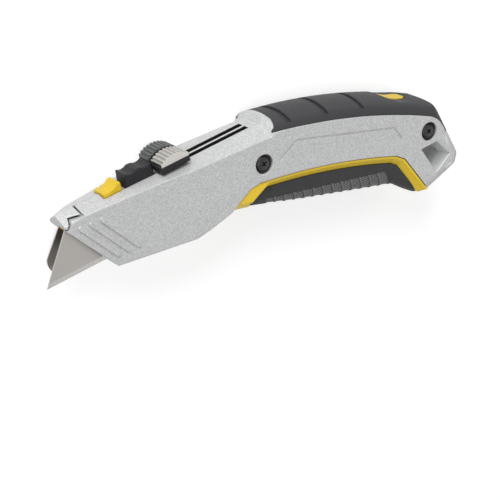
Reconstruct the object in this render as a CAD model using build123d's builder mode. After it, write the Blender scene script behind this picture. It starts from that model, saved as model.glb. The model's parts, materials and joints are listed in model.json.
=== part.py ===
import os
from math import asin, cos, degrees, radians, sin
from build123d import *

os.makedirs("parts", exist_ok=True)

# Frame: the knife lies on its right side with +Z up, so its left side looks up.
# X runs along the blade slide towards the tail, Y towards the spine.
# The origin is on the rest face, below the axis of the front body screw.

# Body: two die-cast halves that meet on the parting plane
half_thick = 13.5        # side face to parting plane
nose_half = 6.4          # half thickness at the front end of the nose
nose_x = -83.9           # front end of the nose
taper_start = -30.0      # the front narrows from here to the nose
crest_height = 15.2      # ridge over the nose
crest_run = 7.5          # nose tip to the ridge
ridge_skim = 0.45        # the roof lies this far below the ridge line there
nose_drop = 0.8          # nose tip below the ridge
nose_chin = 5.0          # lower corner of the nose below its tip
nose_rake = 0.1
nose_lead = 5.0          # the cuts over the nose begin this far ahead of it
nose_crest = 13.7        # roof of the nose there, at the parting plane
nose_crease = 10.0       # and at its side
crest_fall = 1.8         # how far the ridge falls towards the deck
crest_step = 1.0         # rear end of the ridge ahead of the deck
deck_height = 12.4       # flat deck with the two slider slots
deck_front = -40.5
deck_rear = 6.2
ramp_rise = 2.8          # deck up to the rubber
crease_height = 12.2     # line where the top slope of the front meets the side
crease_fall = 3.2        # how far that line falls along the deck
deck_flat = 6.0          # flat half width of the deck beside the slots
tail_length = 23.0       # straight back of the tail
corner_round = 3.0       # tail corners, seen from the side
spine_round = 5.0        # rubber along the spine
arch_radius = 28.0       # section over the spine
arch_lead = 3.0          # the arch begins this far ahead of the spine
arch_past = 20.0         # and runs out past its rear end
arch_skim = 0.1          # height it takes off the crest
roll_over = 0.15         # the rolled edge would end this far outside the side
split_gap = 0.02         # half of the gap between the two castings
beyond = 60.0            # how far a cut reaches past what it cuts
near = 0.1               # two places closer than this count as one

# Ribs of the front panel and the line round the handle panel
rib_centre = (-69.0, 0.1)
rib_count = 3
rib_pitch = 4.4
rib_length = 21.0
rib_width = 1.6
rib_rise = 0.6
line_width = 0.7
line_depth = 0.25
panel_front = (7.2, -1.5)
panel_peak = (16.8, 2.9)
panel_rear = (62.8, -12.8)
panel_end = (65.7, -18.8)

# Tongue of the right casting that closes the nose over the left one
tongue_rear = -75.3
tongue_low = 12.0
tongue_turn = -80.4      # the lower edge steps down from here
tongue_front = -82.7
tongue_gap = 0.8
tongue_root = 1.0        # how deep it is fused with its own half

# Blades and their channels, one each side of the divider
blade_thick = 0.65
blade_length = 61.0
blade_top = 33.0
blade_height = 19.0
blade_tip = -97.0        # tip of the straight blade, fully out
blade_high = 8.6         # back of the blade, under the deck
blade_low = blade_high - blade_height
blade_offset = 3.0       # blade centre to parting plane
blade_bevel = 2.0        # ground width of the cutting edge
bevel_share = 0.47       # share of the thickness ground off each side
notch_width = 3.6
notch_depth = 3.8
notch_pitch = 6.4
hook_length = 49.2
hook_half = hook_length / 2
hook_top = hook_half - 8.9         # half of the top edge
hook_shoulder = 10.8     # widest place below the top edge
hook_bulge = 15.2
hook_tip = hook_half - 4.1         # tip of a hook from the middle
hook_throat = hook_half - 7.0      # inner arc of a hook, top end
hook_depth = 10.0
hook_inner = hook_half - 3.0       # inner arc of a hook, widest place
hook_belly = 13.1
hook_flat = hook_half - 16.6       # half of the flat bottom edge
slide_travel = 32.0
slide_gap = 0.3          # running clearance of what slides
seat_gap = 0.1           # clearance of what is only laid in
channel_depth = 6.3
channel_room = 0.6       # channel above and below the blade
channel_floor = blade_low - channel_room
channel_roof = blade_high + channel_room
front_wall = 1.6         # wall under the channel at the front
body_wall = 4.9          # and at the lowest place of the front part
front_bottom = (-68.8, channel_floor - front_wall)
body_bottom = channel_floor - body_wall
channel_rear = -3.2
mouth_depth = 4.4        # the channel is shallower behind the nose
mouth_rear = -76.0
passage_rear = 3.4       # the channel runs on over the front screw boss to here
divider_half = 0.4
divider_rear = -8.0
divider_setback = 1.0    # front edge of the divider behind the castings
wedge_length = 6.5       # yellow wedge that shows under the nose
wedge_height = 1.9
carrier_front = -75.0
carrier_setback = 2.5    # its slanted front edge behind the castings
carrier_rear = -38.0
carrier_inner = 3.4      # carrier plate, from the parting plane
carrier_outer = channel_depth - slide_gap
carrier_lift = 1.4       # carrier above the floor of the channel
carrier_rise = 0.1       # and above the back of the blade
carrier_low = channel_floor + carrier_lift
carrier_high = blade_high + carrier_rise
heel_front = -40.0       # block at the rear of the carrier that takes the slider
heel_rear = -29.5
heel_height = 3.3
heel_low = carrier_high - heel_height
passage_low = heel_low - slide_gap
heel_inner = 0.75
clip_front = -74.0
clip_width = 2.6
clip_drop = 0.4          # clip below the back of the blade
clip_high = blade_high - clip_drop
clip_low = clip_high - clip_width
clip_thick = 0.35

# Slider buttons on the deck
slot_near = 0.6          # slot walls, from the parting plane
slot_far = 3.5
slot_front = -38.4
slot_rear = 2.6
stem_front = -38.0
stem_length = 8.0
cap_front = -40.8
cap_length = 13.2
cap_near = 0.8
cap_far = 8.6
base_low = 13.7
base_high = 16.0
cap_end = 17.4           # cap height at its ends
cap_crown = 19.5         # and at its middle
cap_inset = 0.4          # cap ends inside the base
base_round = 0.8
ridge_count = 7
ridge_radius = 0.42
press_travel = 1.0
stem_lift = 1.5          # stem above the carrier
stem_low = carrier_high + stem_lift
key_lift = 1.2           # key of the stem above the underside of the heel
key_low = heel_low + key_lift
key_length = 1.6
leaf_thick = 0.25        # spring under the stem
leaf_rise = 1.1

# Blade release button and thumb pad on the ridge
release_front = -64.4
release_length = 8.0
release_half = 4.0
release_seat = 12.2      # underside of the button
release_toe = 15.0       # top of the button at its front
release_peak = 16.6      # and at its rear
release_scoop = 0.7      # hollow between the two
release_travel = 1.5
peak_length = 1.4
button_round = 0.4
leg_lift = 0.4           # legs above the roof of the channel
leg_low = channel_roof + leg_lift
leg_inner = 0.9
leg_outer = 1.9
leg_length = 1.8
release_coil = 1.6       # radius of the release spring
release_wire = 0.45
pad_space = 1.9          # release button to thumb pad
pad_front = release_front + release_length + pad_space
pad_rear = deck_front - crest_step
pad_half = 4.2
pad_seat = 12.0
pad_top = 18.3
pad_fall = 0.1           # the pad falls towards the deck
pad_draft = 0.8
hollow_radius = 3.4
hollow_depth = 0.8
well_gap = 0.3

# Rubber on the spine
rubber_setback = 1.6     # bare metal between the ramp and the rubber
rubber_lip = 1.5         # its front edge leans forward below this depth
rubber_thick = 4.4
rubber_side = 2.2
groove_width = 2.2
groove_depth = 1.1
groove_reach = 3.4       # how far a groove runs down the side
groove_places = (0.10, 0.335, 0.57)

# Storage button on the spine
storage_place = 0.885
storage_length = 9.8
storage_half = 3.8
storage_round = 2.2      # rear corners of the button
storage_rise = 0.3
scoop_radius = 22.0      # hollow across the spine at the button
scoop_depth = 1.9
scoop_ahead = 1.0        # deepest place, ahead of the button's middle
storage_cap = 3.2
storage_travel = 1.5
storage_coil = 2.4       # radius of the storage button spring
storage_wire = 0.5
coil_room = 2.2          # length of a spring pressed flat
coil_turns = 3
stem_radius = 1.5
stem_reach = 14.6
latch_thick = 0.45
latch_half = 4.0
latch_low = 1.0          # hook of the latch above the tray centre
latch_gap = 0.6          # top of its arm below the stem
latch_hook = 1.2

# Storage tray below the handle
handle_angle = -18.0
tray_centre = (34.0, -16.0)
tray_gap = 0.3
tray_band = 3.4          # width of the tray's bare rim
tray_chamfer = 2.6
tray_inset = 0.4         # tray sides inside the castings
tray_half = half_thick - tray_inset
grip_half = 11.0
grip_round = 5.0
magazine_half = 9.4
magazine_long = 32.4
magazine_wall = 3.0      # top of its walls above the tray centre
pocket_half = 5.0        # half width of the blade pocket
pocket_gap = 0.2         # under the spare blades, which lie with their middle on the tray centre
pocket_floor = -blade_height / 2 - pocket_gap
magazine_base = 1.5      # thickness of the pocket's floor
magazine_floor = pocket_floor - magazine_base
pocket_end = 1.4         # wall at each end of the pocket
pocket_long = magazine_long - pocket_end
cavity_half = 10.1
cavity_gap = 0.8
cavity_roof = 11.2
tray_toe = (-18.6, -12.9)
chin = (-8.5, -15.5)
belly_front = (2.0, -19.2)
grip_toe = (-9.8, -13.3) # front end of the soft grip
grip_brow = (-2.2, -9.8)
belly_mid = (30.0, -29.9)
belly_rear = (60.0, -38.6)
heel_drop = (65.0, -44.0)
heel_low_end = (69.2, -47.4)
heel_end = (73.8, -46.4)
ear_corner = (-25.0, 0.0)
belly_depth = 14.3       # belly below the tray centre, across the handle
belly_turn = 31.0        # the belly drops from here to the tail
belly_end = 47.0
belly_drop = 6.6
rear_reach = (-30.0, 1.0)
hinge = (-20.4, -9.5)
hinge_radius = 1.5
ear_radius = 2.7
ear_inner = 6.9
ear_outer = 9.6
ear_room = 0.4
ear_cavity = 30.0        # length of the room for the ears
pin_end = 11.9
pin_fit = 0.03
pin_room = 0.1
arm_rear = -9.0          # the ear's arm joins the rim here
arm_high = -8.6
arm_low = -11.1
latch_room = 0.5
spare_count = 2
spare_gap = 0.1

# Screws
front_screw = (0.0, 0.0)
rear_screw = (79.8, -22.2)
head_radius = 3.9
head_height = 2.0
head_sink = 0.1
head_room = 0.15
shank_radius = 1.6
boss_radius = 4.6

# Lanyard hole through the tail
lanyard_centre = (81.6, -34.0)
lanyard_angle = -58.0
lanyard_mouth = ((79.5, -41.4), (88.2, -36.4), (82.6, -28.0), (74.0, -28.0))
lanyard_throat = (8.8, 6.2)
lanyard_depth = 8.0

mid = half_thick
blade_centre = blade_tip + blade_length / 2
parting = Plane.XY.offset(mid)
upright = Vector(0, 0, 1)
upward = (Align.CENTER, Align.CENTER, Align.MIN)
downward = (Align.CENTER, Align.CENTER, Align.MAX)


def taper_half(x):
    """Half thickness of the narrowing front at x."""
    return half_thick - (taper_start - x) * (half_thick - nose_half) / (taper_start - nose_x)


def block(x, y, z, mode=Mode.ADD):
    """Box between the given pairs of x, y and z, with z counted from the parting plane."""
    with Locations((x[0], y[0], mid + z[0])):
        Box(x[1] - x[0], y[1] - y[0], z[1] - z[0], align=(Align.MIN, Align.MIN, Align.MIN), mode=mode)


def both_sides(part):
    """The part and its mirror image on the other side of the parting plane."""
    return part + mirror(part, about=parting)


def side_plane(centre, angle):
    """Plane on the parting plane, turned by the angle about Z."""
    turned = (cos(radians(angle)), sin(radians(angle)), 0)
    return Plane(origin=(centre[0], centre[1], mid), x_dir=turned, z_dir=(0, 0, 1))


def finish(part, name):
    """Name the piece and write its file."""
    part.label = name
    export_step(part, f"parts/{name}.step")


# Side outline of the body with its rubber
nose_tip = (nose_x, crest_height - nose_drop)
nose_low = (nose_x + nose_rake, nose_tip[1] - nose_chin)
crest_front = (nose_x + crest_run, crest_height)
crest_rear = (deck_front - crest_step, crest_height - crest_fall)
ramp_top = (deck_rear + ramp_rise, deck_height + ramp_rise)
spine_mid = (46.0, 6.3)
spine_rear = (82.0, -8.9)
shoulder_low = (88.2, -16.6)
tail_heel = (91.6, -43.6)
tail_low = (75.7, -47.9)
arch_heel = (73.0, -44.8)
arch_rear = (65.4, -28.4)
arch_top_rear = (61.4, -25.1)
arch_mid = (28.5, -13.6)
arch_top_front = (-3.7, -6.6)
arch_front = (-8.4, -7.0)
arch_toe = (-19.2, -12.5)
bottom_low = (-36.0, body_bottom)

# Lower edge of the rubber, seen from the side
rubber_toe = (7.0, 10.6)
rubber_mid = (45.5, 0.0)
rubber_heel = (81.0, -15.6)
rubber_tail = (88.6, -26.5)

with BuildSketch(parting) as outline:
    with BuildLine():
        Polyline(front_bottom, nose_low, nose_tip, crest_front, crest_rear)
        Polyline(crest_rear, (deck_front, deck_height), (deck_rear, deck_height), ramp_top)
        spine = ThreePointArc(ramp_top, spine_mid, spine_rear)
        shoulder = TangentArc(spine @ 1, shoulder_low, tangent=spine % 1)
        back = PolarLine(shoulder @ 1, tail_length, direction=shoulder % 1)
        Polyline(back @ 1, tail_heel, tail_low, arch_heel, arch_rear, arch_top_rear)
        ThreePointArc(arch_top_rear, arch_mid, arch_top_front)
        Polyline(arch_top_front, arch_front, arch_toe, bottom_low, front_bottom)
    make_face()
    rear_corners = [v for v in outline.vertices() if v.X > shoulder_low[0]]
    tail_corners = [v for v in rear_corners if v.Y < shoulder_low[1] - corner_round]
    fillet(tail_corners, radius=corner_round)

# Storage button on the spine, and the hollow across the spine round it
button_point = spine @ storage_place
button_along = spine % storage_place
button_out = Vector(-button_along.Y, button_along.X, 0)
button_plane = Plane(origin=(button_point.X, button_point.Y, mid), x_dir=button_along, z_dir=button_out)


def button_outline(gap):
    """Outline of the storage button, widened by a gap for its well."""
    with BuildSketch() as plan:
        Rectangle(storage_length + 2 * gap, 2 * (storage_half + gap))
        fillet(plan.vertices().sort_by(Axis.X)[-2:], radius=storage_round + gap)
    return plan.sketch


def finger_scoop(lift):
    """Round bar across the spine that hollows it at the button."""
    with BuildPart() as hollow:
        with Locations(button_plane):
            with Locations((-scoop_ahead, 0, scoop_radius - scoop_depth + lift)):
                Cylinder(scoop_radius, 4 * half_thick, rotation=(90, 0, 0))
    return hollow.part


def arch_section(inset):
    """Section of the handle under its arched spine, with the crest at the origin."""
    with BuildSketch() as section:
        with Locations((-arch_radius, 0)):
            Circle(arch_radius - inset)
        Rectangle(2 * beyond, 2 * (half_thick + roll_over - inset), mode=Mode.INTERSECT)
        corners = [v for v in section.vertices() if abs(v.Y) > spine_round and v.X > -arch_radius]
        fillet(corners, radius=spine_round - inset)
    return section.sketch


def arch_cut(lift):
    """What stands over that section in one half, all along the spine."""
    centre = Vector(spine.arc_center.X, spine.arc_center.Y, mid)
    lead = degrees(arch_lead / spine.radius)
    outward = (Vector(*ramp_top, mid) - centre).normalized().rotate(Axis.Z, lead)
    crest = centre + outward * (spine.radius + lift)
    with BuildPart() as over_arch:
        with BuildSketch(Plane(origin=crest, x_dir=outward, z_dir=outward.cross(upright))):
            Rectangle(2 * arch_radius, half_thick, align=(Align.CENTER, Align.MIN))
            add(arch_section(0), mode=Mode.SUBTRACT)
        turn = degrees((arch_lead + spine.length + arch_past) / spine.radius)
        revolve(axis=Axis(centre, upright), revolution_arc=-turn)
    return over_arch.part


# Solid half, before it is hollowed
with BuildPart() as blank:
    add(outline.sketch)
    extrude(amount=half_thick)
    spine_edge = blank.edges().group_by(Axis.Z)[-1].sort_by_distance((spine_mid[0], spine_mid[1], 2 * mid))[0]
    fillet(spine_edge, spine_round)
    front_end = nose_x - nose_lead
    with BuildSketch(Plane.XZ):
        Polygon(
            (taper_start, mid + half_thick),
            (front_end, mid + taper_half(front_end)),
            (front_end, mid + beyond),
            (taper_start, mid + beyond),
            align=None,
        )
    extrude(amount=beyond, both=True, mode=Mode.SUBTRACT)
    nose_roof = (front_end, nose_crest, nose_crease)
    ridge_roof = (crest_front[0], crest_height - ridge_skim, crease_height)
    deck_roof = (deck_front, crest_rear[1], crease_height)
    for sections in ((nose_roof, ridge_roof), (ridge_roof, deck_roof)):
        for x, crest, crease in sections:
            half = taper_half(x)
            above = crest_height + beyond
            with BuildSketch(Plane.YZ.offset(x)):
                Polygon((crest, mid), (crease, mid + half), (above, mid + half), (above, mid), align=None)
        loft(mode=Mode.SUBTRACT)
    # arched section over the spine
    add(arch_cut(-arch_skim), mode=Mode.SUBTRACT)

# Rubber of one half: the blank above the rubber's lower edge, less the casting that carries it
core_shift = Vector(spine % 0.5).rotate(Axis.Z, -90) * rubber_thick
with BuildPart() as rubber_half:
    add(blank.part)
    with BuildSketch(parting):
        with BuildLine():
            rim = ThreePointArc(rubber_toe, rubber_mid, rubber_heel)
            rim_end = TangentArc(rubber_heel, rubber_tail, tangent=rim % 1)
            front = ramp_top[0] + rubber_setback
            behind = tail_heel[0] + beyond
            Polyline(rubber_tail, (behind, rubber_tail[1]), (behind, beyond), (front, beyond))
            Polyline((front, beyond), (front, ramp_top[1] - rubber_lip), rubber_toe)
        make_face()
    extrude(amount=half_thick, mode=Mode.INTERSECT)
    with BuildSketch(parting):
        with BuildLine():
            core_arc = ThreePointArc(ramp_top + core_shift, spine_mid + core_shift, spine_rear + core_shift)
            core_end = TangentArc(core_arc @ 1, shoulder_low + core_shift, tangent=core_arc % 1)
            Polyline(core_end @ 1, tail_heel, arch_top_rear, arch_top_front, front_screw, core_arc @ 0)
        make_face()
    extrude(amount=half_thick - rubber_side, mode=Mode.SUBTRACT)

# Casting of one half: outside form, then the hollows
slope = Plane(
    origin=(taper_start, 0, mid + half_thick),
    x_dir=(taper_start - nose_x, 0, half_thick - nose_half),
    z_dir=(nose_half - half_thick, 0, taper_start - nose_x),
)
tray_plane = side_plane(tray_centre, handle_angle)
lanyard_plane = side_plane(lanyard_centre, lanyard_angle)
front_line = Line(front_bottom, nose_low)

with BuildPart() as half_shell:
    add(blank.part)
    add(rubber_half.part, mode=Mode.SUBTRACT)
    front_section = (deck_front, deck_height, crease_height)
    rear_section = (deck_rear, deck_height, deck_height - crease_fall)
    ramp_section = (ramp_top[0], ramp_top[1], ramp_top[1] - crease_fall)
    for sections in ((front_section, rear_section), (rear_section, ramp_section)):
        for x, flat, edge in sections:
            with BuildSketch(Plane.YZ.offset(x)):
                Polygon(
                    (flat, mid + deck_flat),
                    (edge, mid + half_thick),
                    (beyond, mid + half_thick),
                    (beyond, mid + deck_flat),
                    align=None,
                )
        loft(mode=Mode.SUBTRACT)
    # blade channel, slider slot, release button well and pad seat
    channel = (channel_floor, channel_roof)
    block((nose_x - beyond, mouth_rear), channel, (0, mouth_depth), Mode.SUBTRACT)
    block((mouth_rear, channel_rear), channel, (0, channel_depth), Mode.SUBTRACT)
    block((channel_rear, passage_rear), (passage_low, channel_roof), (0, channel_depth), Mode.SUBTRACT)
    block((slot_front, slot_rear), (channel_roof, beyond), (slot_near, slot_far), Mode.SUBTRACT)
    well = (release_front - well_gap, release_front + release_length + well_gap)
    block(well, (channel_roof, beyond), (0, release_half + well_gap), Mode.SUBTRACT)
    block((well[1], deck_front), (pad_seat, beyond), (0, pad_half), Mode.SUBTRACT)
    # storage cavity round the tray, with room for its ears
    with BuildSketch(tray_plane):
        cavity_long = magazine_long + cavity_gap
        with Locations((0, cavity_roof)):
            Rectangle(2 * cavity_long, beyond, align=(Align.CENTER, Align.MAX))
    extrude(amount=cavity_half, mode=Mode.SUBTRACT)
    with BuildSketch(parting):
        with Locations((hinge[0], hinge[1] + ear_radius + ear_room)):
            Rectangle(ear_cavity, beyond, align=(Align.MIN, Align.MAX))
        with Locations(hinge):
            Circle(ear_radius + ear_room)
    extrude(amount=cavity_half, mode=Mode.SUBTRACT)
    # screw bosses and hinge pin hole
    with Locations((front_screw[0], front_screw[1], mid)):
        Cylinder(boss_radius, half_thick - head_height, align=upward)
    for place in (front_screw, rear_screw):
        with Locations((place[0], place[1], mid)):
            Cylinder(shank_radius + pin_fit, half_thick - head_height, align=upward, mode=Mode.SUBTRACT)
    with Locations((hinge[0], hinge[1], mid)):
        Cylinder(hinge_radius + pin_fit, pin_end + pin_room, align=upward, mode=Mode.SUBTRACT)
    # storage button well and stem hole
    with BuildSketch(button_plane):
        add(button_outline(well_gap))
    extrude(amount=-(storage_cap + storage_travel + coil_room), mode=Mode.SUBTRACT)
    with BuildSketch(button_plane):
        Circle(stem_radius + well_gap)
    extrude(amount=-(stem_reach + 4 * storage_travel), mode=Mode.SUBTRACT)
    # funnel and throat of the lanyard hole
    with BuildSketch(lanyard_plane):
        Rectangle(*lanyard_throat)
    extrude(amount=half_thick, mode=Mode.SUBTRACT)
    with BuildSketch(lanyard_plane.offset(lanyard_depth)):
        Rectangle(*lanyard_throat)
    with BuildSketch(parting.offset(half_thick)):
        Polygon(*lanyard_mouth, align=None)
    loft(mode=Mode.SUBTRACT)
    # panel line of the handle and ribs of the front
    with BuildSketch(parting.offset(half_thick)):
        with BuildLine():
            panel_line = Polyline(panel_front, panel_peak, panel_rear, panel_end)
        trace(panel_line, line_width)
    extrude(amount=-line_depth, mode=Mode.SUBTRACT)
    with BuildSketch(slope):
        with Locations((rib_centre[0] - taper_start, rib_centre[1])):
            with GridLocations(rib_pitch, 0, rib_count, 1):
                SlotOverall(rib_length, rib_width, rotation=front_line.tangent_angle_at(0))
    extrude(amount=rib_rise)
    # a fine gap at the parting plane
    block((-2 * beyond, 2 * beyond), (-beyond, beyond), (0, split_gap), Mode.SUBTRACT)

with BuildSketch(parting) as tongue_area:
    Polygon(
        (tongue_rear, beyond),
        (tongue_rear, tongue_low),
        (tongue_turn, tongue_low),
        (tongue_front, channel_roof),
        (nose_x - beyond, channel_roof),
        (nose_x - beyond, beyond),
        align=None,
    )

with BuildPart() as left_body_shell:
    add(half_shell.part)
    add(tongue_area.sketch)
    extrude(amount=half_thick, mode=Mode.SUBTRACT)
    for place in (front_screw, rear_screw):
        with Locations((place[0], place[1], 2 * mid)):
            Cylinder(head_radius + head_room, head_height, align=downward, mode=Mode.SUBTRACT)
finish(left_body_shell.part, "left_body_shell")

with BuildPart() as nose_tongue:
    add(blank.part)
    add(mirror(blank.part, about=parting))
    with BuildSketch(parting.offset(-tongue_root)):
        add(offset(tongue_area.sketch_local.face(), -tongue_gap, kind=Kind.INTERSECTION, mode=Mode.PRIVATE))
    extrude(amount=half_thick + tongue_root, mode=Mode.INTERSECT)

with BuildPart() as right_body_shell:
    add(mirror(half_shell.part, about=parting))
    add(nose_tongue.part)
finish(right_body_shell.part, "right_body_shell")


def front_edge(y):
    """X of the slanted front edge of the castings at height y."""
    share = (y - front_bottom[1]) / (nose_low[1] - front_bottom[1])
    return (front_line @ share).X


# Divider between the blades, with the wedge that shows under the nose
divider_low = channel_floor + seat_gap
divider_high = channel_roof - seat_gap
wedge_half = blade_offset - blade_thick / 2 - slide_gap
wedge_low = divider_high - wedge_height
with BuildPart() as blade_divider:
    with BuildSketch(parting):
        Polygon(
            (front_edge(divider_low) + divider_setback, divider_low),
            (front_edge(divider_high) + divider_setback, divider_high),
            (divider_rear, divider_high),
            (divider_rear, divider_low),
            align=None,
        )
    extrude(amount=divider_half, both=True)
    with BuildSketch(parting):
        Polygon(
            (front_edge(wedge_low), wedge_low),
            (front_edge(divider_high), divider_high),
            (nose_x + wedge_length, divider_high),
            (nose_x + wedge_length, wedge_low),
            align=None,
        )
    extrude(amount=wedge_half, both=True)
finish(blade_divider.part, "blade_divider")


def cut_notches():
    """The two notches in the top edge of a blade, in the sketch of that blade."""
    for side in (-1, 1):
        with Locations((side * notch_pitch / 2, blade_height / 2 - notch_depth + notch_width / 2)):
            Circle(notch_width / 2, mode=Mode.SUBTRACT)
            Rectangle(notch_width, notch_depth, align=(Align.CENTER, Align.MIN), mode=Mode.SUBTRACT)


def straight_blade_on(plane):
    """Trapezoid blade centred on the plane's origin, cutting edge towards -y."""
    with BuildPart() as blade:
        with BuildSketch(plane.offset(-blade_thick / 2)):
            Polygon(
                (-blade_length / 2, -blade_height / 2),
                (blade_length / 2, -blade_height / 2),
                (blade_top / 2, blade_height / 2),
                (-blade_top / 2, blade_height / 2),
                align=None,
            )
            cut_notches()
        extrude(amount=blade_thick)
        edge_face = blade.faces().sort_by(Axis(plane.origin, plane.y_dir))[0]
        long_edges = edge_face.edges().sort_by(Edge.length)[-2:]
        chamfer(long_edges, length=blade_thick * bevel_share, length2=blade_bevel, reference=edge_face)
    return blade.part


def hook_blade_on(plane):
    """Blade with a hook at each end, centred on the plane's origin."""
    top = blade_height / 2
    with BuildPart() as blade:
        with BuildSketch(plane.offset(-blade_thick / 2)):
            with BuildLine():
                shoulder_point = (hook_half, top - hook_shoulder)
                throat_point = (hook_throat, top - hook_depth)
                Polyline((0, top), (hook_top, top), shoulder_point)
                ThreePointArc(shoulder_point, (hook_half, top - hook_bulge), (hook_tip, -top))
                ThreePointArc((hook_tip, -top), (hook_inner, top - hook_belly), throat_point)
                Polyline(throat_point, (hook_flat, -top), (0, -top))
                mirror(about=Plane.YZ)
            make_face()
            cut_notches()
        extrude(amount=blade_thick)
    return blade.part


blade_middle = blade_low + blade_height / 2
straight_blade = straight_blade_on(Plane(origin=(blade_centre, blade_middle, mid + blade_offset)))
finish(straight_blade, "straight_blade")
hook_blade = hook_blade_on(Plane(origin=(blade_centre, blade_middle, mid - blade_offset)))
finish(hook_blade, "hook_blade")

# Blade carriers with two pegs in the notches of their blade
stem_near = slot_near + slide_gap
stem_far = slot_far - slide_gap
peg_height = blade_low + blade_height - notch_depth + notch_width / 2
peg_radius = notch_width / 2 - slide_gap
clip_outer = blade_offset - blade_thick / 2 - seat_gap
key_front = stem_front + seat_gap
with BuildPart() as carrier_half:
    block((carrier_front, carrier_rear), (carrier_low, carrier_high), (carrier_inner, carrier_outer))
    with BuildSketch(parting):
        Polygon(
            (front_edge(channel_floor) + carrier_setback, channel_floor),
            (front_edge(channel_roof) + carrier_setback, channel_roof),
            (nose_x, channel_roof),
            (nose_x, channel_floor),
            align=None,
        )
    extrude(amount=half_thick, mode=Mode.SUBTRACT)
    block((heel_front, heel_rear), (heel_low, carrier_high), (heel_inner, carrier_outer))
    for side in (-1, 1):
        with Locations((blade_centre + side * notch_pitch / 2, peg_height, mid + clip_outer)):
            Cylinder(peg_radius, carrier_inner - clip_outer, align=upward)
    key_hole = (key_front - slide_gap, key_front + key_length + slide_gap)
    block(key_hole, (heel_low, carrier_high), (stem_near, stem_far), Mode.SUBTRACT)
finish(carrier_half.part, "left_blade_carrier")
finish(mirror(carrier_half.part, about=parting), "right_blade_carrier")

# Leaf that holds the blade on the pegs
with BuildPart() as clip_half:
    block((clip_front, heel_front), (clip_low, clip_high), (clip_outer - clip_thick, clip_outer))
finish(clip_half.part, "left_blade_clip")
finish(mirror(clip_half.part, about=parting), "right_blade_clip")

# Slider base: plate on the deck, stem through the slot and key in the carrier
cap_rear = cap_front + cap_length
with BuildPart() as base_half:
    block((cap_front, cap_rear), (base_low, base_high), (cap_near, cap_far))
    fillet(base_half.edges().filter_by(Axis.Y), base_round)
    block((stem_front, stem_front + stem_length), (stem_low, base_low), (stem_near, stem_far))
    key_sides = (stem_near + slide_gap, stem_far - slide_gap)
    block((key_front, key_front + key_length), (key_low, stem_low), key_sides)
finish(base_half.part, "left_slider_base")
finish(mirror(base_half.part, about=parting), "right_slider_base")

# Slider cap: crowned, with rounded ridges across
with BuildPart() as cap_half:
    cap_middle = (cap_front + cap_rear) / 2
    with BuildSketch(parting.offset(cap_near)):
        with BuildLine():
            toe = cap_front + cap_inset
            heel = cap_rear - cap_inset
            crown = ThreePointArc((toe, cap_end), (cap_middle, cap_crown), (heel, cap_end))
            Polyline(crown @ 1, (heel, base_high), (toe, base_high), crown @ 0)
        make_face()
        for step in range(ridge_count + 1):
            with Locations(crown @ ((step + 0.5) / (ridge_count + 1))):
                Circle(ridge_radius, mode=Mode.SUBTRACT)
    extrude(amount=cap_far - cap_near)
finish(cap_half.part, "left_slider_cap")
finish(mirror(cap_half.part, about=parting), "right_slider_cap")

# Arched leaf under the stem that lifts the slider
leaf_front = key_front + key_length + 2 * slide_gap
leaf_rear = stem_front + stem_length - slide_gap
leaf_middle = (leaf_front + leaf_rear) / 2
leaf_foot = carrier_high + leaf_thick / 2
with BuildPart() as leaf_half:
    with BuildSketch(parting.offset(stem_near)):
        with BuildLine():
            leaf_line = ThreePointArc(
                (leaf_front, leaf_foot), (leaf_middle, leaf_foot + leaf_rise), (leaf_rear, leaf_foot)
            )
        trace(leaf_line, leaf_thick)
    extrude(amount=stem_far - stem_near)
finish(leaf_half.part, "left_slider_spring")
finish(mirror(leaf_half.part, about=parting), "right_slider_spring")


def coil(start, direction, radius, wire, height, turns):
    """Round wire wound between two flat seats."""
    rise = height - wire
    centre = start + direction * (wire / 2)
    turn_line = Helix(pitch=rise / turns, height=rise, radius=radius, center=centre, direction=direction)
    with BuildPart() as spring:
        with BuildSketch(Plane(turn_line @ 0, z_dir=turn_line % 0)):
            Circle(wire / 2)
        sweep(path=turn_line)
    return spring.part


# Blade release button: saddle with a high rear, two legs into the channel
release_rear = release_front + release_length
with BuildPart() as blade_release_button:
    with BuildSketch(parting):
        with BuildLine():
            ThreePointArc(
                (release_front, release_toe),
                (release_front + release_length / 2, (release_toe + release_peak) / 2 - release_scoop),
                (release_rear - peak_length, release_peak),
            )
            Polyline(
                (release_rear - peak_length, release_peak),
                (release_rear, release_peak),
                (release_rear, release_seat),
                (release_front, release_seat),
                (release_front, release_toe),
            )
        make_face()
    extrude(amount=release_half, both=True)
    fillet(blade_release_button.edges().filter_by(Axis.Z).group_by(Axis.Y)[-1], button_round)
    for side in (-1, 1):
        legs = sorted((side * leg_inner, side * leg_outer))
        leg_front = release_front + 2 * well_gap
        block((leg_front, leg_front + leg_length), (leg_low, release_seat), legs)
finish(blade_release_button.part, "blade_release_button")

coil_place = Vector(release_rear - release_coil - 2 * well_gap - release_wire, divider_high, mid)
coil_height = release_seat - divider_high
release_spring = coil(coil_place, Vector(0, 1, 0), release_coil, release_wire, coil_height, coil_turns)
finish(release_spring, "blade_release_spring")

# Thumb pad: three ridges and two hollows across
with BuildPart() as thumb_pad:
    pad_step = (pad_rear - pad_front) / 2
    with BuildSketch(parting):
        Polygon(
            (pad_front, pad_seat),
            (pad_front + pad_draft, pad_top),
            (pad_rear - pad_draft, pad_top - pad_fall),
            (pad_rear, pad_seat),
            align=None,
        )
        for step in (0.5, 1.5):
            with Locations((pad_front + step * pad_step, pad_top - hollow_depth + hollow_radius)):
                Circle(hollow_radius, mode=Mode.SUBTRACT)
    extrude(amount=pad_half - seat_gap, both=True)
finish(thumb_pad.part, "thumb_pad")

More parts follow.
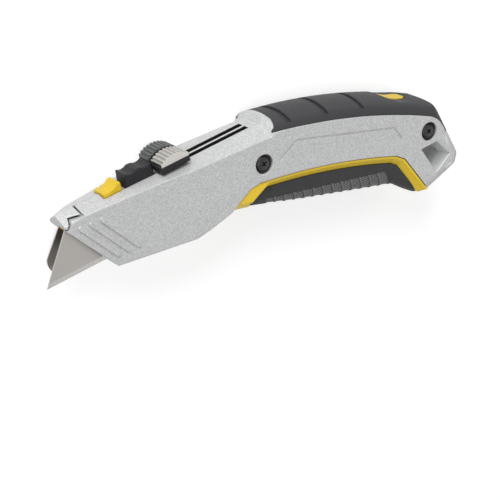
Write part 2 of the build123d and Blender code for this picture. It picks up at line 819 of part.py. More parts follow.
# Rubber on the spine, with the storage button well and three grooves over the back
with BuildPart() as top_grip:
    add(both_sides(rubber_half.part))
    add(finger_scoop(0), mode=Mode.SUBTRACT)
    with BuildSketch(button_plane):
        add(button_outline(well_gap))
    extrude(amount=storage_cap + storage_travel, both=True, mode=Mode.SUBTRACT)
    for place in groove_places:
        across = spine % place
        outward = Vector(-across.Y, across.X, 0)
        foot = spine @ place
        with BuildSketch(Plane(origin=(foot.X, foot.Y, mid), x_dir=outward, z_dir=across)):
            Rectangle(2 * groove_reach, 4 * half_thick)
            add(arch_section(groove_depth), mode=Mode.SUBTRACT)
        extrude(amount=groove_width / 2, both=True, mode=Mode.SUBTRACT)
finish(top_grip.part, "top_grip")

# Storage button with its stem, spring and the latch it bends
with BuildPart() as storage_button:
    with BuildSketch(button_plane.offset(-storage_cap)):
        add(button_outline(0))
    extrude(amount=2 * storage_cap)
    add(finger_scoop(storage_rise), mode=Mode.SUBTRACT)
    with BuildSketch(button_plane.offset(-storage_cap)):
        Circle(stem_radius)
    extrude(amount=-(stem_reach - storage_cap))
finish(storage_button.part, "storage_button")

coil_height = storage_travel + coil_room
coil_seat = button_plane.origin - button_plane.z_dir * (storage_cap + coil_height)
storage_spring = coil(coil_seat, button_plane.z_dir, storage_coil, storage_wire, coil_height, coil_turns)
finish(storage_spring, "storage_button_spring")

stem_tip = tray_plane.to_local_coords(button_plane.origin - button_plane.z_dir * stem_reach)
arm_top = stem_tip.Y - latch_gap
arm_end = stem_tip.X - stem_radius
with BuildPart() as storage_latch:
    with BuildSketch(tray_plane):
        Polygon(
            (cavity_long, latch_low),
            (cavity_long, arm_top),
            (arm_end, arm_top),
            (arm_end, arm_top - latch_thick),
            (cavity_long - latch_thick, arm_top - latch_thick),
            (cavity_long - latch_thick, latch_low + latch_thick),
            (cavity_long - latch_hook, latch_low + latch_thick),
            (cavity_long - latch_hook, latch_low),
            align=None,
        )
    extrude(amount=latch_half, both=True)
finish(storage_latch.part, "storage_latch")

# Storage tray: rim along the handle, magazine inside it and two ears at the hinge
body_face = outline.sketch_local.face()
rim_face = offset(body_face, tray_gap, kind=Kind.INTERSECTION)
grip_face = offset(body_face, tray_gap + tray_band, kind=Kind.INTERSECTION)
with BuildSketch() as tray_face:
    with BuildLine():
        ThreePointArc(belly_front, belly_mid, belly_rear)
        Polyline(belly_rear, heel_drop, heel_low_end, heel_end, rear_screw, front_screw, ear_corner)
        Polyline(ear_corner, tray_toe, chin, belly_front)
    make_face()

magazine_corners = (
    (-magazine_long, magazine_floor),
    (magazine_long, magazine_floor),
    (magazine_long, magazine_wall),
    (-magazine_long, magazine_wall),
)
with BuildSketch() as lower_face:
    add(tray_face.sketch)
    add(grip_face, mode=Mode.SUBTRACT)
    Polygon(
        grip_brow,
        grip_toe,
        (grip_toe[0], -beyond),
        (-beyond, -beyond),
        (-beyond, 0),
        (grip_brow[0], 0),
        align=None,
        mode=Mode.SUBTRACT,
    )


def clear_blades():
    """Room in the tray for the blades when they are drawn in."""
    room = channel_depth + slide_gap
    block(rear_reach, (channel_floor - 2 * slide_gap, beyond), (-room, room), Mode.SUBTRACT)


with BuildPart() as storage_tray:
    with BuildSketch(parting):
        add(tray_face.sketch)
        add(rim_face, mode=Mode.SUBTRACT)
        add(lower_face.sketch, mode=Mode.SUBTRACT)
    extrude(amount=tray_half, both=True)
    body_blank = extrude(outline.sketch, amount=half_thick, both=True, mode=Mode.PRIVATE)
    side_edges = [e for e in storage_tray.edges() if abs(abs(e.center().Z - mid) - tray_half) < near]
    rim_depth = tray_gap + tray_band
    lower_edges = [e for e in side_edges if abs(body_blank.distance_to(e @ 0.5) - rim_depth) < near]
    chamfer(lower_edges, tray_chamfer)
    clear_blades()
    with BuildSketch(tray_plane):
        Polygon(*magazine_corners, align=None)
    extrude(amount=magazine_half, both=True)
    with BuildSketch(tray_plane):
        with Locations((0, pocket_floor)):
            Rectangle(2 * pocket_long, beyond, align=(Align.CENTER, Align.MIN))
    extrude(amount=pocket_half, both=True, mode=Mode.SUBTRACT)
    # window for the hook of the latch
    with BuildSketch(tray_plane):
        with Locations((pocket_long, latch_low + latch_thick / 2)):
            Rectangle(4 * latch_hook, latch_thick + 2 * latch_room)
    extrude(amount=latch_half + latch_room, both=True, mode=Mode.SUBTRACT)
    # ears
    for side in (-1, 1):
        with BuildSketch(parting.offset(side * (ear_inner + ear_outer) / 2)):
            with Locations(hinge):
                Circle(ear_radius)
            Polygon(
                (hinge[0], hinge[1] + ear_radius),
                (arm_rear, arm_high),
                (arm_rear, arm_low),
                (hinge[0], hinge[1] - ear_radius),
                align=None,
            )
            with Locations(hinge):
                Circle(hinge_radius + pin_fit, mode=Mode.SUBTRACT)
        extrude(amount=(ear_outer - ear_inner) / 2, both=True)
finish(storage_tray.part, "storage_tray")


def belly_plane(place):
    """Plane across the handle, with local x towards the left side and local y towards the belly."""
    return Plane(origin=tray_plane.origin + tray_plane.x_dir * place, x_dir=(0, 0, 1), z_dir=tray_plane.x_dir)


def belly_corner(side, depth):
    """What a round of the belly edge takes off, in a sketch across the handle."""
    outer = 1.6 * grip_round
    with Locations((side * (grip_half - grip_round), depth - grip_round)):
        Rectangle(outer, outer, align=(Align.MIN if side > 0 else Align.MAX, Align.MIN))
        Circle(grip_round, mode=Mode.SUBTRACT)


# Soft grip under the tray
with BuildPart() as tray_grip:
    with BuildSketch(parting):
        add(lower_face.sketch)
    extrude(amount=grip_half, both=True)
    for side in (-1, 1):
        with BuildSketch(belly_plane(-beyond)):
            belly_corner(side, belly_depth)
        extrude(amount=beyond + belly_turn, mode=Mode.SUBTRACT)
        for place, drop in ((belly_turn, 0), (belly_end, belly_drop)):
            with BuildSketch(belly_plane(place)):
                belly_corner(side, belly_depth + drop)
        loft(mode=Mode.SUBTRACT)
    clear_blades()
    with BuildSketch(tray_plane):
        Polygon(*magazine_corners, align=None)
    extrude(amount=magazine_half, both=True, mode=Mode.SUBTRACT)
finish(tray_grip.part, "tray_grip")

# Two stub pins carry the tray
with BuildPart() as tray_hinge_pins:
    for side in (-1, 1):
        with Locations((hinge[0], hinge[1], mid + side * (ear_inner + pin_end) / 2)):
            Cylinder(hinge_radius, pin_end - ear_inner)
finish(tray_hinge_pins.part, "tray_hinge_pins")

# Spare blades, stacked on the right side of the pocket
spare_pitch = blade_thick + spare_gap


def spare_plane(place):
    """Middle plane of a spare blade, counted from the right wall of the pocket."""
    return tray_plane.offset(-pocket_half + spare_gap + blade_thick / 2 + place * spare_pitch)


spare_straight = [straight_blade_on(spare_plane(i)) for i in range(spare_count)]
finish(Compound(children=spare_straight), "spare_straight_blades")
spare_hooks = [hook_blade_on(spare_plane(spare_count + i)) for i in range(spare_count)]
finish(Compound(children=spare_hooks), "spare_hook_blades")

# Body screws, heads on the left side
with BuildPart() as body_screws:
    for place in (front_screw, rear_screw):
        with Locations((place[0], place[1], 2 * mid - head_sink)):
            Cylinder(head_radius, head_height - head_sink, align=downward)
        with Locations((place[0], place[1], 2 * mid - head_height)):
            Cylinder(shank_radius, 2 * (mid - head_height) - pin_room, align=downward)
finish(body_screws.part, "body_screws")
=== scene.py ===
import json
import math

import bmesh
import bpy
from mathutils import Matrix, Vector


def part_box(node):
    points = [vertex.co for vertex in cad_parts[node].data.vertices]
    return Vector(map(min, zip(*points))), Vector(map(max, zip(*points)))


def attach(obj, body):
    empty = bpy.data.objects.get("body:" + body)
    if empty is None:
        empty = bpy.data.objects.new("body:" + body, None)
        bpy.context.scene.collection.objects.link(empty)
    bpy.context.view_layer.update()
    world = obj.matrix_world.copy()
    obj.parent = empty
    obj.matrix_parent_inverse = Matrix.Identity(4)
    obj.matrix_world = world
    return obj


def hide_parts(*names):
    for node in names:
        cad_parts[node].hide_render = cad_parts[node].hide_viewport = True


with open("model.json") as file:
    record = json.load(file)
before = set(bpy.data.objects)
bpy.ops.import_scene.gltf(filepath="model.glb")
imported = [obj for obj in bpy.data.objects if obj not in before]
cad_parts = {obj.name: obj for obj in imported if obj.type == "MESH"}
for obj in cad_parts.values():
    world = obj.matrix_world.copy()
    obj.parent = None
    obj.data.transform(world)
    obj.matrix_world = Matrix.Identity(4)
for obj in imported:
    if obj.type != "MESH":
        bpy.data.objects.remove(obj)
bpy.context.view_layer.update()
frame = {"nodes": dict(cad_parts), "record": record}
nodes = frame["nodes"]
scene = bpy.context.scene

MM = 0.001
weld = 0.001 * MM            # points closer than this become one
white = (1, 1, 1, 1)
unit = (0.0, 1.0)            # range of a mask


# Node trees


def add_node(tree, kind, settings=None, **inputs):
    """A node with its settings and inputs, each input by its name or by _ and its number."""
    made = tree.nodes.new(kind)
    for key, value in (settings or {}).items():
        setattr(made, key, value)
    for key, value in inputs.items():
        number = key[1:]
        socket = made.inputs[int(number) if number.isdigit() else key.replace("_", " ")]
        if isinstance(value, bpy.types.NodeSocket):
            tree.links.new(value, socket)
        else:
            socket.default_value = value
    return made


def math_node(tree, operation, first, second=0.0):
    """The result of an operation on two values."""
    return add_node(tree, "ShaderNodeMath", {"operation": operation}, _0=first, _1=second).outputs[0]


def product(tree, first, *others):
    """Values multiplied together."""
    for value in others:
        first = math_node(tree, "MULTIPLY", first, value)
    return first


def spread(tree, value, old, new=unit):
    """A value taken from an old range to a new one and held at its ends."""
    made = add_node(
        tree, "ShaderNodeMapRange", None,
        Value=value, From_Min=old[0], From_Max=old[1], To_Min=new[0], To_Max=new[1],
    )
    return made.outputs["Result"]


def mixed(tree, share, first, second, how="MIX"):
    """Two colours mixed by a share."""
    settings = {"data_type": "RGBA", "blend_type": how}
    return add_node(tree, "ShaderNodeMix", settings, _0=share, _6=first, _7=second).outputs[2]


def shaded(tree, colour, shade):
    """A colour lightened and darkened by a shade round 1."""
    grey = add_node(tree, "ShaderNodeCombineColor", None, _0=shade, _1=shade, _2=shade).outputs[0]
    return mixed(tree, 1.0, colour, grey, "MULTIPLY")


def object_point(tree):
    """Where on the piece the shaded point lies."""
    return add_node(tree, "ShaderNodeTexCoord").outputs["Object"]


def noise(tree, where, scale, detail=2.0):
    """Soft noise between 0 and 1."""
    made = add_node(tree, "ShaderNodeTexNoise", None, Vector=where, Scale=scale, Detail=detail)
    return made.outputs[0]


def swing(tree, noisy, depth):
    """How far a noisy value lies from its middle, times a depth."""
    noise_middle = 0.5
    return product(tree, math_node(tree, "SUBTRACT", noisy, noise_middle), depth)


def inside_box(tree, box):
    """Mask that is 1 inside a box, given by its ranges along X, Y and Z in millimetres."""
    spot = add_node(tree, "ShaderNodeSeparateXYZ", None, Vector=object_point(tree)).outputs
    mask = 1.0
    for axis, (low, high) in zip("XYZ", box):
        over = math_node(tree, "GREATER_THAN", spot[axis], low * MM)
        under = math_node(tree, "LESS_THAN", spot[axis], high * MM)
        mask = product(tree, mask, over, under)
    return mask


def seen_directly(tree):
    """1 for rays from the camera, also by way of metal or glass, else 0."""
    path = add_node(tree, "ShaderNodeLightPath").outputs
    seen = math_node(tree, "MAXIMUM", path["Is Camera Ray"], path["Is Glossy Ray"])
    return math_node(tree, "MAXIMUM", seen, path["Is Transmission Ray"])


# Effects that several finishes share


def start_group(name, inputs, outputs):
    """An empty node group: inputs with their values, outputs with their kinds."""
    tree = bpy.data.node_groups.new(name, "ShaderNodeTree")
    for socket, value in inputs.items():
        made = tree.interface.new_socket(socket, in_out="INPUT", socket_type="NodeSocketFloat")
        made.default_value = value
    for socket, kind in outputs.items():
        tree.interface.new_socket(socket, in_out="OUTPUT", socket_type=kind)
    return tree, tree.nodes.new("NodeGroupInput").outputs, tree.nodes.new("NodeGroupOutput").inputs


def moulded_grain():
    """Fine grain of a moulded or painted surface, with slow drift of its shade."""
    tree, given, out = start_group(
        "moulded_grain",
        {"Grain Scale": 1500.0, "Drift Scale": 45.0, "Depth": 0.1, "Drift": 0.06},
        {"Shade": "NodeSocketFloat", "Height": "NodeSocketFloat"},
    )
    where = object_point(tree)
    fine = noise(tree, where, given["Grain Scale"])
    slow = noise(tree, where, given["Drift Scale"], detail=3.0)
    both = math_node(tree, "ADD", swing(tree, fine, given["Depth"]), swing(tree, slow, given["Drift"]))
    tree.links.new(math_node(tree, "ADD", both, 1.0), out["Shade"])
    tree.links.new(fine, out["Height"])
    return tree


def rounded_edge_highlight():
    """Rounded look of an edge, and a mask along the edge, broken into patches, where a highlight is
    painted.
    """
    highlight_range = (0.995, 0.9)     # cosine between the rounded and the flat normal
    patch_range = (0.35, 0.65)
    patch_share = (0.3, 1.0)
    tree, given, out = start_group(
        "rounded_edge_highlight",
        {"Radius": 0.4 * MM, "Breakup": 350.0},
        {"Normal": "NodeSocketVector", "Highlight Mask": "NodeSocketFloat"},
    )
    rounded = add_node(tree, "ShaderNodeBevel", {"samples": 6}, Radius=given["Radius"]).outputs[0]
    flat = add_node(tree, "ShaderNodeNewGeometry").outputs["Normal"]
    compare = {"operation": "DOT_PRODUCT"}
    apart = add_node(tree, "ShaderNodeVectorMath", compare, _0=rounded, _1=flat).outputs["Value"]
    patchy = noise(tree, object_point(tree), given["Breakup"])
    patchy = spread(tree, patchy, patch_range, patch_share)
    tree.links.new(rounded, out["Normal"])
    tree.links.new(product(tree, spread(tree, apart, highlight_range), patchy), out["Highlight Mask"])
    return tree


def crevice_shading():
    """Painted shade where walls stand close together."""
    tree, given, out = start_group(
        "crevice_shading",
        {"Reach": 1.5 * MM, "Open": 0.52, "Closed": 0.2},
        {"Painted Shade": "NodeSocketFloat"},
    )
    near = add_node(tree, "ShaderNodeAmbientOcclusion", {"samples": 8}, Distance=given["Reach"])
    crevice_shade = spread(tree, near.outputs["AO"], (given["Open"], given["Closed"]))
    tree.links.new(crevice_shade, out["Painted Shade"])
    return tree


def ground_lines():
    """Fine parallel lines left by grinding or brushing."""
    tree, given, out = start_group(
        "ground_lines",
        {"Along X": 30.0, "Along Y": 2500.0, "Along Z": 2500.0, "Depth": 0.2},
        {"Shade": "NodeSocketFloat", "Height": "NodeSocketFloat"},
    )
    stretch = add_node(
        tree, "ShaderNodeCombineXYZ", None,
        X=given["Along X"], Y=given["Along Y"], Z=given["Along Z"],
    ).outputs[0]
    scaled = {"operation": "MULTIPLY"}
    where = add_node(tree, "ShaderNodeVectorMath", scaled, _0=object_point(tree), _1=stretch).outputs[0]
    streak = noise(tree, where, scale=1.0, detail=3.0)
    tree.links.new(math_node(tree, "ADD", swing(tree, streak, given["Depth"]), 1.0), out["Shade"])
    tree.links.new(streak, out["Height"])
    return tree


grain = moulded_grain()
edge = rounded_edge_highlight()
crevice = crevice_shading()
lines = ground_lines()


# Finishes


def start_material(name, **constants):
    """A material with the constants of its shader."""
    made = bpy.data.materials.new(name)
    made.use_nodes = True
    shader = made.node_tree.nodes["Principled BSDF"]
    for key, value in constants.items():
        shader.inputs[key.replace("_", " ")].default_value = value
    return made, made.node_tree, shader


def use_group(tree, group, **inputs):
    """The outputs of a node group, with some of its inputs set."""
    return add_node(tree, "ShaderNodeGroup", {"node_tree": group}, **inputs).outputs


def feed(tree, shader, **sources):
    """Links from sources to the shader's sockets."""
    for key, source in sources.items():
        tree.links.new(source, shader.inputs[key.replace("_", " ")])


def uneven(tree, height, roughness, by):
    """Roughness that rises and falls by an amount with the height of the grain."""
    grain_range = (0.3, 0.7)
    return spread(tree, height, grain_range, (roughness - by, roughness + by))


def bumped(tree, height, normal, strength, depth):
    """A normal with a height pressed into it, to a depth in millimetres."""
    made = add_node(
        tree, "ShaderNodeBump", None, Height=height, Normal=normal, Strength=strength, Distance=depth * MM
    )
    return made.outputs[0]


def moulded(
    name, colour, painted_edge_light, roughness, scale,
    metallic=0.0, depth=0.12, drift=0.08, radius=0.4, edge_light_share=0.5, shine=0.5,
):
    """Moulded plastic or rubber, or plain paint: fine grain, drifting shade, and a painted highlight
    along the edges (painted shade where the edge colour is darker).
    """
    made, tree, shader = start_material(name, Metallic=metallic, Specular_IOR_Level=shine)
    skin = use_group(tree, grain, Grain_Scale=scale, Depth=depth, Drift=drift)
    rim = use_group(tree, edge, Radius=radius * MM)
    # painted edge light: edges take their own colour, a painted highlight where it is lighter and painted
    # shade where it is darker
    base = mixed(tree, product(tree, rim["Highlight Mask"], edge_light_share), (*colour, 1), (*painted_edge_light, 1))
    feed(
        tree, shader,
        Base_Color=shaded(tree, base, skin["Shade"]),
        Roughness=uneven(tree, skin["Height"], roughness, by=0.06),
        Normal=bumped(tree, skin["Height"], rim["Normal"], strength=0.12, depth=0.05),
    )
    return made


def brushed(name, colour, roughness, density, metallic=1.0):
    """Bare or plated metal with fine lines and painted shade in its crevices."""
    crevice_shade_share = 0.2
    painted_crevice_shade = [crevice_shade_share * c for c in colour]
    made, tree, shader = start_material(name, Metallic=metallic)
    skin = use_group(tree, lines, Along_X=density[0], Along_Y=density[1], Along_Z=density[2], Depth=0.25)
    rim = use_group(tree, edge, Radius=0.3 * MM)
    crevice_shade = use_group(tree, crevice, Reach=1.0 * MM, Open=0.8, Closed=0.35)
    # painted shade: the colour darkens where walls stand close together
    base = mixed(tree, crevice_shade["Painted Shade"], (*colour, 1), (*painted_crevice_shade, 1))
    feed(
        tree, shader,
        Base_Color=shaded(tree, base, skin["Shade"]),
        Roughness=uneven(tree, skin["Height"], roughness, by=0.07),
        Normal=bumped(tree, skin["Height"], rim["Normal"], strength=0.05, depth=0.03),
    )
    return made


def silver_paint():
    """Die-cast metal in satin silver paint: bright and dark flakes over a grey ground."""
    dark_flake = (0.46, 0.463, 0.467, 1)
    bright_flake = (0.64, 0.643, 0.647, 1)
    painted_edge_highlight = (0.84, 0.845, 0.85, 1)
    painted_crevice_shade = (0.02, 0.02, 0.021, 1)
    painted_funnel_light = (0.68, 0.683, 0.687, 1)
    painted_slot_shade = (0.012, 0.012, 0.013, 1)
    edge_highlight_share = 0.5
    flake_range = (0.1, 0.9)
    funnel_box = ((73.8, 88.3), (-41.5, -27.9), (0.08, 26.92))
    slider_slots = ((-38.6, 2.8), (0.0, 12.33), (9.95, 17.05))
    blade_channel = ((-74.5, 3.6), (-11.2, 9.25), (7.15, 19.85))
    made, tree, shader = start_material("silver_paint")
    flake = add_node(tree, "ShaderNodeTexVoronoi", None, Vector=object_point(tree), Scale=3300.0)
    chance = add_node(tree, "ShaderNodeSeparateColor", None, Color=flake.outputs["Color"]).outputs[0]
    skin = use_group(tree, grain, Grain_Scale=2600.0, Depth=0.06, Drift=0.04)
    rim = use_group(tree, edge, Radius=0.7 * MM)
    crevice_shade = use_group(tree, crevice)
    funnel = inside_box(tree, funnel_box)
    # mask of the slider slots and the blade channel, where painted shade goes
    slot_shade_mask = math_node(
        tree, "MAXIMUM", inside_box(tree, slider_slots), inside_box(tree, blade_channel)
    )
    base = mixed(tree, spread(tree, chance, flake_range), dark_flake, bright_flake)
    # painted highlight: the edges are lightened in patches
    base = mixed(tree, product(tree, rim["Highlight Mask"], edge_highlight_share), base, painted_edge_highlight)
    # painted shade: near black where walls stand close together
    base = mixed(tree, crevice_shade["Painted Shade"], base, painted_crevice_shade)
    # painted light: the lanyard funnel's walls are lightened as if lit from the front
    base = mixed(tree, funnel, base, painted_funnel_light)
    # painted shade: the slider slots and the blade channel are painted near black
    base = mixed(tree, slot_shade_mask, base, painted_slot_shade)
    feed(
        tree, shader,
        Base_Color=shaded(tree, base, skin["Shade"]),
        Roughness=spread(tree, chance, unit, (0.58, 0.45)),
        Metallic=spread(tree, funnel, unit, (0.18, 0.6)),
        Normal=bumped(tree, skin["Height"], rim["Normal"], strength=0.06, depth=0.05),
    )
    return made


def blade_steel():
    """Blade: rolled faces, and a brighter ground bevel where the face leans to the edge."""
    face_steel = (0.352, 0.338, 0.322, 1)
    bevel_steel = (0.46, 0.452, 0.442, 1)
    lean_range = (0.997, 0.991)  # how much of the normal points sideways
    made, tree, shader = start_material("ground_blade", Metallic=1.0)
    rolled = use_group(tree, lines, Along_X=25.0, Along_Y=1800.0, Along_Z=25.0, Depth=0.09)
    ground = use_group(tree, lines, Along_X=2600.0, Along_Y=60.0, Along_Z=60.0, Depth=0.3)
    rim = use_group(tree, edge, Radius=0.1 * MM)
    normal = add_node(tree, "ShaderNodeNewGeometry").outputs["Normal"]
    sideways = add_node(tree, "ShaderNodeSeparateXYZ", None, Vector=normal).outputs["Z"]
    lean = spread(tree, math_node(tree, "ABSOLUTE", sideways), lean_range)
    face = shaded(tree, face_steel, rolled["Shade"])
    bevel = shaded(tree, bevel_steel, ground["Shade"])
    feed(
        tree, shader,
        Base_Color=mixed(tree, lean, face, bevel),
        Roughness=spread(tree, lean, unit, (0.36, 0.26)),
        Normal=bumped(tree, rolled["Height"], rim["Normal"], strength=0.04, depth=0.02),
    )
    return made


def knurled_rubber():
    """Rubber of the sunk pads: a fine cross-hatch pressed into it, with painted shade in its valleys and
    a painted highlight on its ridges.
    """
    painted_valley_shade = (0.04, 0.04, 0.042, 1)
    painted_ridge_highlight = (0.26, 0.26, 0.263, 1)
    hatch_turns = (0.55, -0.75)
    hatch_range = (0.05, 0.55)
    made, tree, shader = start_material("knurled_rubber")
    skin = use_group(tree, grain, Grain_Scale=1300.0, Depth=0.2, Drift=0.1)
    rim = use_group(tree, edge, Radius=0.3 * MM)
    bands = {"wave_type": "BANDS", "bands_direction": "X"}
    hatch = 1.0
    for turn in hatch_turns:
        where = object_point(tree)
        where = add_node(tree, "ShaderNodeMapping", None, Vector=where, Rotation=(0, 0, turn)).outputs[0]
        wave = add_node(tree, "ShaderNodeTexWave", bands, Vector=where, Scale=400.0, Distortion=0.0)
        hatch = product(tree, hatch, wave.outputs["Fac"])
    base = mixed(tree, spread(tree, hatch, hatch_range), painted_valley_shade, painted_ridge_highlight)
    feed(
        tree, shader,
        Base_Color=shaded(tree, base, skin["Shade"]),
        Roughness=uneven(tree, skin["Height"], roughness=0.58, by=0.08),
        Normal=bumped(tree, hatch, rim["Normal"], strength=0.6, depth=0.3),
    )
    return made


paint = silver_paint()
steel = blade_steel()
pad_rubber = knurled_rubber()
# painted shade: the grip rubber's edges are painted darker than its faces
rubber = moulded(
    "grip_rubber", colour=(0.042, 0.042, 0.045), painted_edge_light=(0.008, 0.008, 0.008), roughness=0.62,
    scale=1300.0, radius=0.6, edge_light_share=0.9, shine=0.3,
)
# painted shade: a darker copy of the grip rubber for the recessed smooth band
band_rubber_painted_shade = moulded(
    "band_rubber_painted_shade", colour=(0.034, 0.034, 0.036), painted_edge_light=(0.09, 0.09, 0.09), roughness=0.58,
    scale=1300.0, shine=0.3,
)
# painted highlight: a lighter copy of the grip rubber for the raised ribs between the pads
rib_rubber_painted_highlight = moulded(
    "rib_rubber_painted_highlight", colour=(0.17, 0.17, 0.173), painted_edge_light=(0.2, 0.2, 0.2), roughness=0.6,
    scale=1300.0, shine=0.3,
)
black = moulded(
    "black_moulding", colour=(0.022, 0.022, 0.024), painted_edge_light=(0.07, 0.07, 0.07), roughness=0.5,
    scale=1600.0, shine=0.18,
)
yellow = moulded(
    "yellow_moulding", colour=(0.93, 0.65, 0.035), painted_edge_light=(0.95, 0.72, 0.09), roughness=0.42,
    scale=1700.0, depth=0.05, drift=0.06, radius=0.5, shine=0.35,
)
# painted shade: a darker copy of the yellow plastic for the buttons, whose tops face the key light
yellow_painted_shade = moulded(
    "yellow_painted_shade", colour=(0.74, 0.50, 0.022), painted_edge_light=(0.86, 0.62, 0.07), roughness=0.46,
    scale=1700.0, depth=0.05, drift=0.06, radius=0.5, shine=0.3,
)
screw_black = moulded(
    "black_oxide", colour=(0.03, 0.03, 0.031), painted_edge_light=(0.1, 0.1, 0.1), roughness=0.3,
    scale=2400.0, metallic=0.6, radius=0.3,
)
lengthwise = (30.0, 2500.0, 2500.0)  # how dense the lines lie along X, Y and Z
crosswise = (2200.0, 2200.0, 40.0)
spring = brushed("spring_wire", colour=(0.45, 0.45, 0.46), roughness=0.32, density=lengthwise)
nickel = brushed("nickel_plate", colour=(0.48, 0.466, 0.443), roughness=0.36, density=crosswise)
dark_cap = brushed(
    "dark_plate", colour=(0.11, 0.112, 0.115), roughness=0.40, density=crosswise, metallic=0.6
)

finish_of_slot = {
    "cast_body": paint,
    "soft_black": rubber,
    "black_plastic": black,
    "yellow_plastic": yellow,
    "blade_steel": steel,
    "spring_steel": spring,
    "nickel_cap": nickel,
    "dark_cap": dark_cap,
    "black_screw": screw_black,
}
for part in frame["record"]["subparts"]:
    mesh = nodes[part["node"]].data
    mesh.materials.clear()
    mesh.materials.append(finish_of_slot[part["material_slot"]])
# the storage button takes the darker yellow, painted shade
nodes["storage_button"].data.materials[0] = yellow_painted_shade


# New pieces


def copy_shape(node, flat_angle):
    """A copy of a CAD node's mesh, merged, with its flat faces joined."""
    shape = bmesh.new()
    shape.from_mesh(nodes[node].data)
    bmesh.ops.remove_doubles(shape, verts=shape.verts, dist=weld)
    flat = math.radians(flat_angle)
    bmesh.ops.dissolve_limit(shape, angle_limit=flat, verts=shape.verts, edges=shape.edges)
    return shape


def keep_piece(shape, name, node, body, finishes, smooth_angle):
    """The finished shape as a piece that rides on a body and stands for a CAD node."""
    bmesh.ops.recalc_face_normals(shape, faces=shape.faces)
    mesh = bpy.data.meshes.new(name)
    shape.to_mesh(mesh)
    shape.free()
    for finish in finishes:
        mesh.materials.append(finish)
    mesh.shade_smooth()
    mesh.set_sharp_from_angle(angle=math.radians(smooth_angle))
    piece = bpy.data.objects.new(name, mesh)
    scene.collection.objects.link(piece)
    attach(piece, body)
    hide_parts(node)
    return piece


# Soft grip with a row of slanted pads sunk in its belly
grip = copy_shape("tray_grip", flat_angle=0.5)
grip_finishes = [band_rubber_painted_shade, pad_rubber, rib_rubber_painted_highlight]
pad_finish = grip_finishes.index(pad_rubber)
rib_finish = grip_finishes.index(rib_rubber_painted_highlight)
handle_turn = math.radians(-18.0)
along = Vector((math.cos(handle_turn), math.sin(handle_turn), 0))
across = Vector((-along.y, along.x, 0))
tray_centre = Vector((34.0 * MM, -16.0 * MM, 13.5 * MM))
pad_count = 13
pad_pitch = 4.8 * MM
pad_width = 3.8 * MM
pad_start = -35.0 * MM       # front of the first pad, from the tray's middle
pad_drop = 8.46 * MM         # top of the pads below the tray's middle
pad_sink = 0.25 * MM         # depth of a pad, and width of the slope round it
pad_lean = 0.45              # slant of the pads' sides along the handle
top_lean = 0.0586            # slant of the pads' top line
cut_slack = 1e-4 * MM
pad_top = tray_centre - across * pad_drop
top_slope = (across - along * top_lean).normalized()
slant = (along + across * pad_lean).normalized()


def cut_grip(point, normal):
    """New edges where a plane crosses the grip."""
    everything = [*grip.verts, *grip.edges, *grip.faces]
    bmesh.ops.bisect_plane(grip, geom=everything, dist=cut_slack, plane_co=point, plane_no=normal)


def place_in_row(face):
    """How far along the row of pads a face lies, in pitches, or None where it isn't in the row."""
    up_limit = 0.3           # share of a normal that may point up
    end_limit = 0.5          # share that may point along the handle
    inward_limit = 0.1 * MM
    middle = face.calc_center_median()
    reach = middle - pad_top
    run = (reach.dot(slant) / along.dot(slant) - pad_start) / pad_pitch
    off_row = reach.dot(top_slope) > 0 or not 0 <= run < pad_count
    faces_up = face.normal.dot(across) > up_limit
    faces_along = abs(face.normal.dot(along)) > end_limit
    faces_in = face.normal.z * (middle.z - tray_centre.z) <= -inward_limit
    return None if off_row or faces_up or faces_along or faces_in else run


cut_grip(pad_top, top_slope)
for i in range(pad_count):
    for side in (0, pad_width):
        cut_grip(pad_top + along * (pad_start + i * pad_pitch + side), slant)
grip.normal_update()
pads = [[] for _ in range(pad_count)]
for face in grip.faces:
    run = place_in_row(face)
    if run is None:
        continue
    if run % 1 < pad_width / pad_pitch:
        pads[int(run)].append(face)
    else:
        # the ribs between the pads take the lighter rubber, a painted highlight
        face.material_index = rib_finish
for pad in filter(None, pads):
    bmesh.ops.inset_region(
        grip, faces=pad, thickness=pad_sink, depth=-pad_sink, use_boundary=True, use_even_offset=True
    )
    for face in pad:
        face.material_index = pad_finish
keep_piece(grip, "ribbed_grip", "tray_grip", "tray", grip_finishes, smooth_angle=35)


# Thumb pad and release button with softly rounded edges, as they come from the mould
def rounded_copy(node, name, body, finish, radius):
    """A CAD node's shape with its sharp edges rounded, standing for the node."""
    sharp_angle = math.radians(35)
    shape = copy_shape(node, flat_angle=1.0)
    sharp = [e for e in shape.edges if e.is_manifold and e.calc_face_angle(0.0) > sharp_angle]
    bmesh.ops.bevel(
        shape, geom=sharp, offset=radius, offset_type="OFFSET", affect="EDGES", segments=3, profile=0.5,
        material=-1, clamp_overlap=True,
    )
    return keep_piece(shape, name, node, body, [finish], smooth_angle=50)


thumb_rest = rounded_copy("thumb_pad", "wavy_thumb_pad", "body", black, 0.1 * MM)
fine_skin = thumb_rest.modifiers.new("fine_skin", "REMESH")
fine_skin.mode = "VOXEL"
fine_skin.voxel_size = 0.25 * MM
fine_skin.use_smooth_shade = True
worn_soft = thumb_rest.modifiers.new("worn_soft", "SMOOTH")
worn_soft.factor = 0.5
worn_soft.iterations = 16
# the release button takes the darker yellow, painted shade
rounded_copy(
    "blade_release_button", "dished_button", "release_button", yellow_painted_shade, 0.5 * MM
)

